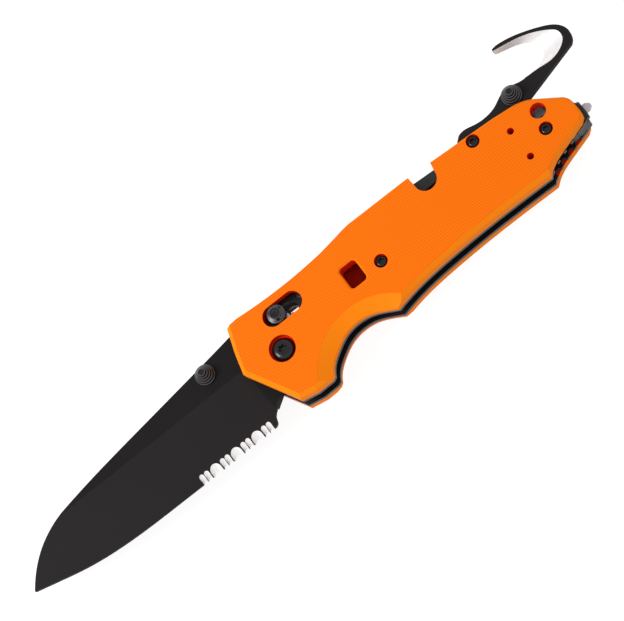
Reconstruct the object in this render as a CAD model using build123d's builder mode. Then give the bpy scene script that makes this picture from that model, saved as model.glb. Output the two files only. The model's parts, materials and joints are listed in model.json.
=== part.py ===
"""Folding rigging knife: sheepsfoot blade, sliding lock bar, strap-cutter hook and glass breaker.

Modelled open, in millimetres.  The working frame has X along the handle towards the butt, Y towards
the spine and Z up through the near side, with the blade pivot at X = Y = 0 and Z = 0 on the far scale.
Each piece is moved at the end, so that the origin lies under the middle of the whole knife.
"""

import math
import os

from build123d import *

# ---- thickness stack, from the far side (Z = 0) to the near side ----
REAR_SCALE_T = 3.6
LINER_T = 1.4
BLADE_T = 3.5
WASHER_T = 0.35
HOOK_T = 2.0
HOOK_GAP = 0.2
POCKET_ROOF_T = 1.9

# ---- clearances ----
FIT_GAP = 0.05
MOVING_GAP = 0.3
LOOSE_GAP = 0.5

# ---- levels that follow from the stack ----
CHANNEL_T = BLADE_T + 2 * WASHER_T
POCKET_T = HOOK_GAP + HOOK_T + MOVING_GAP
FRONT_SCALE_T = POCKET_T + POCKET_ROOF_T
REAR_LINER_Z = REAR_SCALE_T
CHANNEL_Z = REAR_LINER_Z + LINER_T
FRONT_LINER_Z = CHANNEL_Z + CHANNEL_T
FRONT_SCALE_Z = FRONT_LINER_Z + LINER_T
TOP_Z = FRONT_SCALE_Z + FRONT_SCALE_T
BLADE_Z = CHANNEL_Z + WASHER_T
BLADE_TOP_Z = BLADE_Z + BLADE_T
CHANNEL_MID_Z = CHANNEL_Z + CHANNEL_T / 2

# ---- handle side view ----
SPINE_Y = 17.4
BELLY_Y = -8.9
BUTT_X = 108.0
EDGE_CHAMFER = 1.3
REAR_CHAMFER = 1.0
BUTT_CHAMFER = 0.45
SCOOP_R = 20.7
SCOOP_CENTRE = (21.4, -23.5)
SCOOP_SLOPE = 1.74
LINER_PROUD = 0.7
JIMP_PROUD = 0.25

# ---- blade ----
BLADE_TIP = (-100.2, -8.5)
BLADE_SPINE_Y = 15.6
BLADE_EDGE_Y = -14.8
TANG_R = 7.4
TANG_BACK_X = -4.0
SERRATION_H = 3.0
SERRATION_START_X = -42.4
SERRATION_PITCH = 3.78
SERRATION_COUNT = 7
SERRATION_LEAN_DEG = 66
SERRATION_CROWN = 0.4
SWEDGE_Y = 4.6
BLADE_STUD_AT = (-23.1, 10.6)

# ---- pivot ----
PIVOT_R = 2.5
PIVOT_HEAD_R = 3.55
PIVOT_RECESS_R = 4.05
PIVOT_RECESS_DEPTH = 1.9
PIVOT_SCREW_R = 1.5
WASHER_R = 6.2

# ---- sliding lock ----
LOCK_AT = (4.4, 9.5)
LOCK_TRAVEL = 3.8
LOCK_SLOT_L = 6.9
LOCK_BAR_R = 2.5
LOCK_KNOB_R = 2.75
LOCK_SLOT_W = 6.3
LOCK_KNOB_PROUD = 1.3

# ---- stop pins ----
STOP_PIN_R = 1.5
OPEN_STOP_AT = (-2.33, 8.69)
CLOSED_STOP_AT = (13.1, 11.6)

# ---- strap-cutter hook ----
HOOK_AT = (BUTT_X - 29.0, 13.35)
HOOK_ROOT_R = 5.1
HOOK_POST_R = 2.0
HOOK_CLOSE_DEG = 166
HOOK_REACH = 42.5
HOOK_STUD_OUT = (16.8, 4.25)
HOOK_Z = FRONT_SCALE_Z + HOOK_GAP
HOOK_TOP_Z = HOOK_Z + HOOK_T
NOTCH_R = 3.5

# ---- stepped thumb studs ----
STUD_R = 3.1
STUD_H = 4.2
STUD_STEPS = 5
STUD_TIP_R = 1.2
STUD_STEP_BEVEL = 0.25

# ---- small screws, holes and wrench opening ----
SCREW_HEAD_R = 1.8
SCREW_RECESS_R = 2.05
SCREW_RECESS_DEPTH = 1.5
SCREW_R = 0.9
LINER_SCREW_AT = (37.5, 2.2)
BUTT_SCREW_AT = (BUTT_X - 10.6, 2.5)
SPINE_SCREW_AT = (52.0, 14.6)
WRENCH_AT = (28.85, 4.4)
WRENCH_SIZE = (5.7, 7.4)
WINDOW_CHAMFER = 0.4
LINER_WINDOW_AT = (WRENCH_AT[0] - 0.4, WRENCH_AT[1] + 1.6)
LINER_WINDOW_SIZE = (WRENCH_SIZE[0] + 2.0, WRENCH_SIZE[1] + 3.8)
LANYARD_AT = (BUTT_X - 9.2, 8.2)
LANYARD_R = 2.4
CLIP_X = BUTT_X - 18.9
CLIP_HOLE_YS = (8.5, -1.2)
CLIP_HOLE_R = 1.05

# ---- butt ----
BREAKER_Y = 2.7
COLLAR_R = 3.0
COLLAR_T = 0.8
BREAKER_SHANK_R = 1.4
BREAKER_TIP_R = 1.45
BREAKER_TIP_OUT = 2.3
JIMP_R = 1.15
JIMP_START = 0.22
JIMP_STEP = 0.19
JIMP_COUNT = 4

# ---- pocket clip, on the far side ----
CLIP_T = 1.1
CLIP_W = 8.5
CLIP_LENGTH = 50.0
CLIP_SPACE = 1.6
CLIP_BUMP = 1.5


def level(height):
    """Horizontal plane through the blade pivot at this height."""
    return Plane.XY.offset(height)


def turned(point, centre, degrees):
    """A point of the side view turned about a centre."""
    angle = math.radians(degrees)
    dx = point[0] - centre[0]
    dy = point[1] - centre[1]
    x = centre[0] + dx * math.cos(angle) - dy * math.sin(angle)
    y = centre[1] + dx * math.sin(angle) + dy * math.cos(angle)
    return (x, y)


def butt_point(inset, y):
    """A point this far forward of the butt."""
    return (BUTT_X - inset, y)


def tip_point(back, y):
    """A point this far back from the blade's tip."""
    return (BLADE_TIP[0] + back, y)


def hook_point(dx, dy):
    """A point of the open hook, from its own pivot."""
    return (HOOK_AT[0] + dx, HOOK_AT[1] + dy)


HOOK_STUD_AT = hook_point(*HOOK_STUD_OUT)
NOTCH_AT = turned(HOOK_STUD_AT, HOOK_AT, HOOK_CLOSE_DEG)

# ======================================================================================
# Shared profiles
# ======================================================================================

# Side view of the handle: bolster, spine, butt, jimped slope, belly and finger choil.
with BuildSketch() as handle_profile:
    with BuildLine():
        bolster = Polyline((0.7, -15.9), (-4.6, -14.9), (-13.6, 1.6), (-12.0, 8.2), (-9.6, 15.7),
                           (-5.4, 15.9))
        spine_dip = ThreePointArc(bolster @ 1, (12.8, 15.0), (25.0, 15.6))
        spine_rise = Spline(spine_dip @ 1, (30.5, 16.4), (36.5, SPINE_Y))
        spine_run = Polyline(spine_rise @ 1, (56.8, SPINE_Y - 0.3), butt_point(21.0, 15.1),
                             butt_point(14.0, 14.3))
        butt_corner = ThreePointArc(spine_run @ 1, butt_point(10.8, 13.4), butt_point(8.4, 12.2))
        butt_top = Line(butt_corner @ 1, butt_point(1.4, 6.9))
        butt_round = ThreePointArc(butt_top @ 1, butt_point(0.5, 5.7), butt_point(0, 4.2))
        butt_end = Polyline(butt_round @ 1, butt_point(-0.1, 0.6), butt_point(0.2, -0.8),
                            butt_point(1.7, -2.0))
        butt_slope = Spline(butt_end @ 1, butt_point(5.9, -3.3), butt_point(10.8, -4.8),
                            butt_point(14.8, -6.4),
                            butt_point(18.0, BELLY_Y))
        belly = Spline(butt_slope @ 1, (70.0, -8.5), (52.0, -8.9), (42.0, -9.7), (33.2, -11.4))
        choil = Spline(belly @ 1, (29.9, -9.5), (26.2, -7.7), (21.5, -6.9), (16.2, -7.8), (12.4, -9.8),
                       (9.1, -12.2), (7.0, -15.2))
        chin = Polyline(choil @ 1, (5.9, -15.8), (0.7, -15.9))
    make_face()

# The hook's side view when open, with its inside still filled as far as the bill.
with BuildSketch() as hook_profile:
    with BuildLine():
        root_back = Polyline(hook_point(-3.1, 3.95), hook_point(-2.2, 4.75))
        back = Spline(root_back @ 1, hook_point(0.4, 5.1), hook_point(3.4, 4.4), hook_point(7.2, 4.1),
                      hook_point(10.9, 4.85), hook_point(14.0, 6.4), hook_point(16.4, 7.1),
                      hook_point(20.5, 6.25),
                      hook_point(23.4, 6.1))
        mouth = Line(back @ 1, hook_point(20.5, 18.85))
        bill_tip = Polyline(mouth @ 1, hook_point(20.7, 19.3), hook_point(22.2, 19.5))
        bill = Spline(bill_tip @ 1, hook_point(26.0, 18.95), hook_point(31.0, 17.4), hook_point(35.6, 15.4),
                      hook_point(39.4, 12.9), hook_point(41.1, 9.7), hook_point(40.8, 7.4),
                      hook_point(39.2, 5.5))
        front = Line(bill @ 1, hook_point(1.4, -4.9))
        root = ThreePointArc(front @ 1, hook_point(-5.05, -0.7), root_back @ 0)
    make_face()

# Space inside the hook at its near face, where the ground bevel begins.
with BuildSketch() as hook_space_near:
    with BuildLine():
        near_shank = Spline(hook_point(21.0, 6.2), hook_point(23.4, 6.0), hook_point(27.4, 5.8),
                            hook_point(31.7, 5.35), hook_point(34.8, 5.95), hook_point(37.1, 7.15),
                            hook_point(38.5, 8.75), hook_point(38.6, 11.05), hook_point(37.2, 12.75),
                            hook_point(34.7, 14.45), hook_point(31.3, 16.15), hook_point(27.1, 17.45),
                            hook_point(20.0, 18.8))
        near_mouth = Polyline(near_shank @ 1, hook_point(17.0, 19.0), hook_point(17.0, 8.5), near_shank @ 0)
    make_face()

# The same space at the far face, where the cutting edge is.
with BuildSketch() as hook_space_far:
    with BuildLine():
        far_shank = Spline(hook_point(21.0, 6.25), hook_point(23.4, 6.1), hook_point(27.0, 6.6),
                           hook_point(30.0, 7.8), hook_point(31.9, 9.4), hook_point(32.1, 11.5),
                           hook_point(30.0, 14.6), hook_point(26.0, 16.6), hook_point(20.0, 18.3))
        far_mouth = Polyline(far_shank @ 1, hook_point(17.0, 18.5), hook_point(17.0, 8.5), far_shank @ 0)
    make_face()

# Pocket in the near scale that takes the hook, open at the spine.
pocket_reach = HOOK_REACH + LOOSE_GAP
with BuildSketch() as hook_pocket:
    with BuildLine():
        open_side = Polyline(hook_point(40.0, 16.65), hook_point(36.3, 3.6),
                             hook_point(1.6, -HOOK_ROOT_R - LOOSE_GAP))
        shank_side = Spline(open_side @ 1, hook_point(-2.4, -5.4), hook_point(-5.0, -4.2),
                            hook_point(-8.0, -3.1),
                            hook_point(-12.0, -2.9), hook_point(-17.3, -3.8), hook_point(-21.0, -2.6))
        bill_side = Polyline(shank_side @ 1, hook_point(-24.4, -14.2), hook_point(-26.6, -14.4),
                             hook_point(-30.0, -12.9))
        outer_side = Spline(bill_side @ 1, hook_point(-34.4, -10.2), hook_point(-38.7, -6.9),
                            hook_point(-41.6, -3.6), hook_point(-pocket_reach, 0.3))
        spine_side = Polyline(outer_side @ 1, hook_point(-pocket_reach + 0.6, 4.4), hook_point(-40.0, 16.65),
                              open_side @ 0)
    make_face()

# Thumb notch over the closed hook's stud, open at the spine.
with BuildSketch() as notch_profile:
    with BuildLine():
        notch_left = Polyline((NOTCH_AT[0] - NOTCH_R - 0.2, 19.0), (NOTCH_AT[0] - NOTCH_R, NOTCH_AT[1]))
        notch_floor = ThreePointArc(notch_left @ 1, (NOTCH_AT[0], NOTCH_AT[1] - NOTCH_R),
                                    (NOTCH_AT[0] + NOTCH_R, NOTCH_AT[1]))
        notch_right = Polyline(notch_floor @ 1, (NOTCH_AT[0] + NOTCH_R + 1.0, 19.0), notch_left @ 0)
    make_face()

# Window for the wrench flats, square to the handle.
with BuildSketch() as wrench_profile:
    with Locations(WRENCH_AT):
        RectangleRounded(WRENCH_SIZE[0], WRENCH_SIZE[1], 1.2)

# The slot in the scales starts just ahead of the knob and runs on past the end of its travel.
lock_slot_centre = (LOCK_AT[0] - (LOCK_SLOT_W / 2 - LOCK_KNOB_R) - 0.7 + LOCK_SLOT_L / 2, LOCK_AT[1])
# The slot in the liners is a close track for the bar, as long as its travel.
lock_track_centre = (LOCK_AT[0] + LOCK_TRAVEL / 2, LOCK_AT[1])

SOCKET_LOBES = 6


def lobed_socket(centre, radius):
    """Sketch of a six-lobed driver socket."""
    core = 0.76 * radius
    with BuildSketch() as socket:
        with Locations(centre):
            Circle(core)
            with PolarLocations(core, SOCKET_LOBES):
                Circle(radius - core)
    return socket.sketch


# ======================================================================================
# Scales
# ======================================================================================
SCALE_SCREWS = (LINER_SCREW_AT, BUTT_SCREW_AT, HOOK_AT)
FRONT_RELIEF_DEPTH = 2.6
REAR_RELIEF_DEPTH = 1.8
RELIEF_SIZE = (20.0, 7.6)
RELIEF_AT = (12.8, 9.5)
BUTT_RIM_INSET = 17.5


def is_lower_rim(edge):
    """Whether an edge of the handle's outline gets the wide chamfer: bolster, chin, choil and belly."""
    middle = edge @ 0.5
    return middle.X < -9.5 or (middle.Y < -1.5 and middle.X < BUTT_X - BUTT_RIM_INSET)


def is_butt_rim(edge):
    """Whether an edge of the handle's outline is on the butt, where the corner is only broken."""
    return (edge @ 0.5).X > BUTT_X - BUTT_RIM_INSET


with BuildPart() as front_scale:
    with BuildSketch(level(FRONT_SCALE_Z)):
        add(handle_profile.sketch)
    extrude(amount=FRONT_SCALE_T)
    near_rim = front_scale.faces().sort_by(Axis.Z)[-1].edges()
    chamfer(near_rim.filter_by(is_lower_rim), EDGE_CHAMFER)
    near_rim = front_scale.faces().sort_by(Axis.Z)[-1].edges()
    chamfer(near_rim.filter_by(is_butt_rim), BUTT_CHAMFER)
    # Scoop for the finger along the choil.
    with Locations((SCOOP_CENTRE[0], SCOOP_CENTRE[1], TOP_Z)):
        Cone(SCOOP_R - FRONT_SCALE_T * SCOOP_SLOPE, SCOOP_R, FRONT_SCALE_T,
             align=(Align.CENTER, Align.CENTER, Align.MAX), mode=Mode.SUBTRACT)
    # Pocket for the hook, and the notch over its stud.
    with BuildSketch(level(FRONT_SCALE_Z)):
        add(hook_pocket.sketch)
    extrude(amount=POCKET_T, mode=Mode.SUBTRACT)
    with BuildSketch(level(FRONT_SCALE_Z)):
        add(notch_profile.sketch)
    extrude(amount=FRONT_SCALE_T, mode=Mode.SUBTRACT)
    # Relief on the inner face for the lock spring.
    with BuildSketch(level(FRONT_SCALE_Z)):
        with Locations(RELIEF_AT):
            RectangleRounded(RELIEF_SIZE[0], RELIEF_SIZE[1], 1.5)
    extrude(amount=FRONT_RELIEF_DEPTH, mode=Mode.SUBTRACT)
    # Lock slot and wrench window, right through.
    with BuildSketch(level(FRONT_SCALE_Z)):
        with Locations(lock_slot_centre):
            SlotCenterToCenter(LOCK_SLOT_L, LOCK_SLOT_W)
        add(wrench_profile.sketch)
    extrude(amount=FRONT_SCALE_T, mode=Mode.SUBTRACT)
    with Locations((0, 0, TOP_Z)):
        CounterBoreHole(PIVOT_R + FIT_GAP, PIVOT_RECESS_R, PIVOT_RECESS_DEPTH)
    with Locations([(x, y, TOP_Z) for x, y in SCALE_SCREWS]):
        CounterBoreHole(SCREW_R + FIT_GAP, SCREW_RECESS_R, SCREW_RECESS_DEPTH)
    with Locations((LANYARD_AT[0], LANYARD_AT[1], TOP_Z)):
        Hole(LANYARD_R)
    with Locations([(CLIP_X, y, TOP_Z) for y in CLIP_HOLE_YS]):
        Hole(CLIP_HOLE_R)
    # Broken corner round the wrench window.
    top_edges = front_scale.edges().group_by(Axis.Z)[-1]
    window_half = WRENCH_SIZE[0] / 2 + LOOSE_GAP
    window_top = WRENCH_AT[1] + WRENCH_SIZE[1] / 2 + LOOSE_GAP
    beside_window = top_edges.filter_by_position(Axis.X, WRENCH_AT[0] - window_half,
                                                 WRENCH_AT[0] + window_half)
    chamfer(beside_window.filter_by_position(Axis.Y, 0, window_top), WINDOW_CHAMFER)
front_scale.part.label = "front_scale"

with BuildPart() as rear_scale:
    with BuildSketch(level(0)):
        add(handle_profile.sketch)
    extrude(amount=REAR_SCALE_T)
    far_rim = rear_scale.faces().sort_by(Axis.Z)[0].edges()
    chamfer(far_rim.filter_by(is_lower_rim), REAR_CHAMFER)
    far_rim = rear_scale.faces().sort_by(Axis.Z)[0].edges()
    chamfer(far_rim.filter_by(is_butt_rim), BUTT_CHAMFER)
    with Locations((SCOOP_CENTRE[0], SCOOP_CENTRE[1], 0)):
        Cone(SCOOP_R, SCOOP_R - REAR_SCALE_T * SCOOP_SLOPE, REAR_SCALE_T,
             align=(Align.CENTER, Align.CENTER, Align.MIN), mode=Mode.SUBTRACT)
    with BuildSketch(level(REAR_SCALE_T)):
        with Locations(RELIEF_AT):
            RectangleRounded(RELIEF_SIZE[0], RELIEF_SIZE[1], 1.5)
    extrude(amount=-REAR_RELIEF_DEPTH, mode=Mode.SUBTRACT)
    with BuildSketch(level(0)):
        with Locations(lock_slot_centre):
            SlotCenterToCenter(LOCK_SLOT_L, LOCK_SLOT_W)
    extrude(amount=REAR_SCALE_T, mode=Mode.SUBTRACT)
    with Locations(Location((0, 0, 0), (180, 0, 0))):
        CounterBoreHole(PIVOT_R + FIT_GAP, PIVOT_RECESS_R, PIVOT_RECESS_DEPTH)
    with Locations([Location((x, y, 0), (180, 0, 0)) for x, y in SCALE_SCREWS]):
        CounterBoreHole(SCREW_R + FIT_GAP, SCREW_RECESS_R, SCREW_RECESS_DEPTH)
    with Locations(Location((LANYARD_AT[0], LANYARD_AT[1], 0), (180, 0, 0))):
        Hole(LANYARD_R)
    with Locations([Location((CLIP_X, y, 0), (180, 0, 0)) for y in CLIP_HOLE_YS]):
        Hole(CLIP_HOLE_R)
rear_scale.part.label = "rear_scale"

# ======================================================================================
# Liners
# ======================================================================================
BALL_R = 0.6
BALL_AT = hook_point(-3.6, -1.6)
BALL_LIFT = 0.15

# The liners stand proud of the scales at the butt, and their slope is scalloped for the thumb.
with BuildSketch() as liner_profile:
    add(handle_profile.sketch)
    with BuildLine():
        Polyline(butt_point(8.0, 2.0), butt_point(1.2, 7.0), butt_point(-LINER_PROUD, 4.4),
                 butt_point(-LINER_PROUD, -1.2), butt_point(1.7, -2.0 - JIMP_PROUD),
                 butt_point(5.9, -3.3 - JIMP_PROUD), butt_point(10.8, -4.8 - JIMP_PROUD),
                 butt_point(14.8, -6.4 - JIMP_PROUD), butt_point(17.0, -8.0), butt_point(16.0, 0),
                 close=True)
    make_face()
    jimp_centres = [butt_slope.position_at(JIMP_START + step * JIMP_STEP) for step in range(JIMP_COUNT)]
    with Locations(*[(centre.X, centre.Y - JIMP_PROUD) for centre in jimp_centres]):
        Circle(JIMP_R, mode=Mode.SUBTRACT)


def liner(bottom_z, near_side):
    """One liner: both carry the pins and a wrench window, the near one also has the notch."""
    with BuildPart() as plate:
        with BuildSketch(level(bottom_z)):
            add(liner_profile.sketch)
            with Locations(lock_track_centre):
                SlotCenterToCenter(LOCK_TRAVEL, 2 * (LOCK_BAR_R + FIT_GAP), mode=Mode.SUBTRACT)
            with Locations((0, 0)):
                Circle(PIVOT_R + FIT_GAP, mode=Mode.SUBTRACT)
            with Locations(OPEN_STOP_AT, CLOSED_STOP_AT):
                Circle(STOP_PIN_R + FIT_GAP, mode=Mode.SUBTRACT)
            with Locations(*SCALE_SCREWS, SPINE_SCREW_AT):
                Circle(SCREW_R + FIT_GAP, mode=Mode.SUBTRACT)
            with Locations(LANYARD_AT):
                Circle(LANYARD_R, mode=Mode.SUBTRACT)
            with Locations([(CLIP_X, y) for y in CLIP_HOLE_YS]):
                Circle(CLIP_HOLE_R, mode=Mode.SUBTRACT)
            with Locations(LINER_WINDOW_AT):
                RectangleRounded(LINER_WINDOW_SIZE[0], LINER_WINDOW_SIZE[1], 1.2, mode=Mode.SUBTRACT)
            if near_side:
                add(notch_profile.sketch, mode=Mode.SUBTRACT)
                with Locations(BALL_AT):
                    Circle(BALL_R + FIT_GAP, mode=Mode.SUBTRACT)
        extrude(amount=LINER_T)
    return plate


front_liner = liner(FRONT_LINER_Z, True)
front_liner.part.label = "front_liner"
rear_liner = liner(REAR_LINER_Z, False)
rear_liner.part.label = "rear_liner"

# ======================================================================================
# Spacers and pins between the liners
# ======================================================================================
with BuildPart() as butt_spacer:
    with BuildSketch(level(CHANNEL_Z)):
        with BuildLine():
            Polyline(butt_point(14.5, 14.2), butt_point(10.8, 13.0), butt_point(8.4, 11.8),
                     butt_point(1.4, 6.6),
                     butt_point(-LINER_PROUD, 4.2), butt_point(-LINER_PROUD, -1.4), butt_point(3.3, -2.6),
                     butt_point(6.3, -2.6), butt_point(8.5, -0.9), butt_point(14.5, 1.3), close=True)
        make_face()
        with Locations(LANYARD_AT):
            Circle(LANYARD_R, mode=Mode.SUBTRACT)
        with Locations(BUTT_SCREW_AT):
            Circle(SCREW_R + FIT_GAP, mode=Mode.SUBTRACT)
    extrude(amount=CHANNEL_T)
    # Seat of the glass breaker, drilled in from the butt.
    with Locations(Location((BUTT_X + LINER_PROUD, BREAKER_Y, CHANNEL_MID_Z), (0, 90, 0))):
        Hole(BREAKER_SHANK_R + FIT_GAP, 6.0)
butt_spacer.part.label = "butt_spacer"

with BuildPart() as spine_spacer:
    with BuildSketch(level(CHANNEL_Z)):
        with BuildLine():
            Polyline((47.0, 16.9), (56.8, 16.7), butt_point(21.0, 14.7), butt_point(15.1, 14.0),
                     butt_point(15.1, 10.6), butt_point(34.0, 10.6), butt_point(36.0, 12.9), (47.0, 12.9),
                     close=True)
        make_face()
        with Locations(HOOK_AT, SPINE_SCREW_AT):
            Circle(SCREW_R + FIT_GAP, mode=Mode.SUBTRACT)
    extrude(amount=CHANNEL_T)
spine_spacer.part.label = "spine_spacer"

with BuildPart() as pivot_pin:
    with BuildSketch(level(REAR_LINER_Z)):
        Circle(PIVOT_R)
        Circle(PIVOT_SCREW_R + FIT_GAP, mode=Mode.SUBTRACT)
    extrude(amount=FRONT_SCALE_Z - REAR_LINER_Z)
pivot_pin.part.label = "pivot_pin"

with BuildPart() as stop_pins:
    with BuildSketch(level(REAR_LINER_Z)):
        with Locations(OPEN_STOP_AT, CLOSED_STOP_AT):
            Circle(STOP_PIN_R)
    extrude(amount=FRONT_SCALE_Z - REAR_LINER_Z)
    chamfer(stop_pins.edges().filter_by(GeomType.CIRCLE), 0.2)
stop_pins.part.label = "stop_pins"


def washer(bottom_z):
    """One thin bronze washer beside the tang."""
    with BuildPart() as ring:
        with BuildSketch(level(bottom_z)):
            Circle(WASHER_R)
            Circle(PIVOT_R + FIT_GAP, mode=Mode.SUBTRACT)
        extrude(amount=WASHER_T)
    return ring


washer_rear = washer(CHANNEL_Z)
washer_rear.part.label = "washer_rear"
washer_front = washer(BLADE_TOP_Z)
washer_front.part.label = "washer_front"

# ======================================================================================
# Glass breaker
# ======================================================================================
BREAKER_SHANK_L = 5.0
breaker_plane = Plane(origin=(BUTT_X + LINER_PROUD, BREAKER_Y, CHANNEL_MID_Z), x_dir=(0, 1, 0),
                      z_dir=(1, 0, 0))
with BuildPart() as breaker_collar:
    with BuildSketch(breaker_plane):
        Circle(COLLAR_R)
    extrude(amount=COLLAR_T)
    chamfer(breaker_collar.edges().group_by(Axis.X)[-1], 0.25)
    with BuildSketch(breaker_plane):
        Circle(BREAKER_SHANK_R)
    extrude(amount=-BREAKER_SHANK_L)
breaker_collar.part.label = "breaker_collar"

with BuildPart() as breaker_tip:
    with BuildSketch(breaker_plane.offset(COLLAR_T)):
        Circle(BREAKER_TIP_R)
    extrude(amount=BREAKER_TIP_OUT)
    chamfer(breaker_tip.edges().group_by(Axis.X)[-1], BREAKER_TIP_R * 0.8, BREAKER_TIP_R * 0.6)
breaker_tip.part.label = "breaker_tip"

# ======================================================================================
# Blade
# ======================================================================================
GRIND_DEPTH = 1.35
STUD_SHANK_R = 1.2

# Wedge that the primary grind takes off the near face, ending in a curved plunge by the tang.
grind_reach = SWEDGE_Y - BLADE_EDGE_Y
with BuildPart() as grind_wedge:
    with BuildSketch(Plane(origin=(0, 0, 0), x_dir=(0, 1, 0), z_dir=(1, 0, 0))):
        with BuildLine():
            Polyline((SWEDGE_Y, BLADE_TOP_Z), (SWEDGE_Y, BLADE_TOP_Z + 1),
                     (SWEDGE_Y - 2 * grind_reach, BLADE_TOP_Z + 1),
                     (SWEDGE_Y - 2 * grind_reach, BLADE_TOP_Z - 2 * GRIND_DEPTH), close=True)
        make_face()
    extrude(amount=BLADE_TIP[0] - 10)
    with BuildSketch(level(BLADE_Z)):
        with BuildLine():
            plunge = ThreePointArc((-11.8, 12.0), (-12.8, -3.0), (-10.4, -19.0))
            Polyline(plunge @ 1, (BLADE_TIP[0] - 10, -40.0), (BLADE_TIP[0] - 10, 12.0), plunge @ 0)
        make_face()
    extrude(amount=2 * BLADE_T, mode=Mode.INTERSECT)


def scallop(centre_x, radius, top_y):
    """Cutter for one serration, ground from the near face and leaning down to the far one."""
    lean = math.radians(SERRATION_LEAN_DEG)
    face_z = BLADE_TOP_Z - GRIND_DEPTH * (SWEDGE_Y - top_y) / grind_reach
    crown = SERRATION_CROWN * radius
    centre_y = top_y - crown / math.cos(lean)
    face = Plane(origin=(centre_x, centre_y, face_z), x_dir=(1, 0, 0),
                 z_dir=(0, math.sin(lean), math.cos(lean)))
    with BuildPart() as cutter:
        with BuildSketch(face):
            Ellipse(radius, crown)
            Rectangle(2 * radius, 6, align=(Align.CENTER, Align.MAX))
        extrude(amount=3 * BLADE_T, both=True)
    return cutter.part


with BuildPart() as blade:
    tang_top = math.sqrt(TANG_R**2 - TANG_BACK_X**2)
    tang_low = (-4.6, -math.sqrt(TANG_R**2 - 4.6**2))
    with BuildSketch(level(BLADE_Z)):
        with BuildLine():
            tang_back = Polyline((TANG_BACK_X, tang_top), (TANG_BACK_X, 12.4), (-6.4, 15.0),
                                 (-8.6, BLADE_SPINE_Y))
            spine = Spline(tang_back @ 1, (-26.8, 13.0), (-50.4, 9.9), tip_point(25.8, 6.3), tip_point(19.6, 5.1))
            drop = Spline(spine @ 1, tip_point(15.0, 3.6), tip_point(10.0, 1.1), tip_point(5.8, -2.0),
                          tip_point(2.6, -5.2), BLADE_TIP)
            edge = Spline(drop @ 1, tip_point(7.0, -10.3), tip_point(16.2, -12.5), tip_point(30.2, -14.3),
                          (-54.0, BLADE_EDGE_Y), (SERRATION_START_X, BLADE_EDGE_Y - 0.1))
            serrated = Line(edge @ 1, (-15.9, BLADE_EDGE_Y - 0.1))
            heel = Spline(serrated @ 1, (-14.4, -13.9), (-14.0, -12.6), (-12.6, -10.9), (-10.6, -9.5),
                          (-8.6, -8.2), (-6.6, -7.1), tang_low)
            ThreePointArc(heel @ 1, (TANG_R, 0), tang_back @ 0)
        make_face()
        Circle(PIVOT_R + FIT_GAP, mode=Mode.SUBTRACT)
        with Locations(BLADE_STUD_AT):
            Circle(STUD_SHANK_R + FIT_GAP, mode=Mode.SUBTRACT)
    extrude(amount=BLADE_T)
    add(grind_wedge.part, mode=Mode.SUBTRACT)
    add(grind_wedge.part.mirror(level(BLADE_Z + BLADE_T / 2)), mode=Mode.SUBTRACT)
    for tooth in range(SERRATION_COUNT):
        tooth_x = SERRATION_START_X + (tooth + 0.5) * SERRATION_PITCH
        top_y = BLADE_EDGE_Y + SERRATION_H
        if tooth % 2:
            add(scallop(tooth_x, 0.47 * SERRATION_PITCH, top_y), mode=Mode.SUBTRACT)
        else:
            for side in (-1, 1):
                tooth_half = tooth_x + side * 0.23 * SERRATION_PITCH
                add(scallop(tooth_half, 0.21 * SERRATION_PITCH, top_y - 0.2), mode=Mode.SUBTRACT)
blade.part.label = "blade"


def thumb_stud(centre, base_z, outward, shank_length):
    """Stepped cone for the thumb, with a shank that runs back through what it is fixed to."""
    step_h = STUD_H / STUD_STEPS
    with BuildPart() as stud:
        with BuildSketch(Plane(origin=(centre[0], centre[1], base_z), x_dir=(1, 0, 0),
                               z_dir=(0, -outward, 0))):
            with BuildLine():
                corners = [(0, 0), (STUD_R, 0)]
                for step in range(STUD_STEPS):
                    ring = STUD_R - step * (STUD_R - STUD_TIP_R) / (STUD_STEPS - 1)
                    corners += [(ring, (step + 0.7) * step_h), (ring - STUD_STEP_BEVEL, (step + 1) * step_h)]
                    if step < STUD_STEPS - 1:
                        corners += [(ring - (STUD_R - STUD_TIP_R) / (STUD_STEPS - 1), (step + 1) * step_h)]
                corners += [(0, STUD_H)]
                Polyline(*corners, close=True)
            make_face()
        revolve(axis=Axis((centre[0], centre[1], base_z), (0, 0, 1)))
        if shank_length:
            with BuildSketch(level(base_z)):
                with Locations(centre):
                    Circle(STUD_SHANK_R)
            extrude(amount=-outward * shank_length)
    return stud


blade_stud_front = thumb_stud(BLADE_STUD_AT, BLADE_TOP_Z, 1, BLADE_T)
blade_stud_front.part.label = "blade_stud_front"
blade_stud_rear = thumb_stud(BLADE_STUD_AT, BLADE_Z, -1, 0)
blade_stud_rear.part.label = "blade_stud_rear"

# ======================================================================================
# Sliding lock
# ======================================================================================
KNOB_NOTCHES = 3
KNOB_LENGTH = 3.4

with BuildPart() as lock_bar:
    with BuildSketch(level(KNOB_LENGTH - LOCK_KNOB_PROUD)):
        with Locations(LOCK_AT):
            Circle(LOCK_BAR_R)
    extrude(amount=TOP_Z - 2 * (KNOB_LENGTH - LOCK_KNOB_PROUD))
lock_bar.part.label = "lock_bar"


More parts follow.
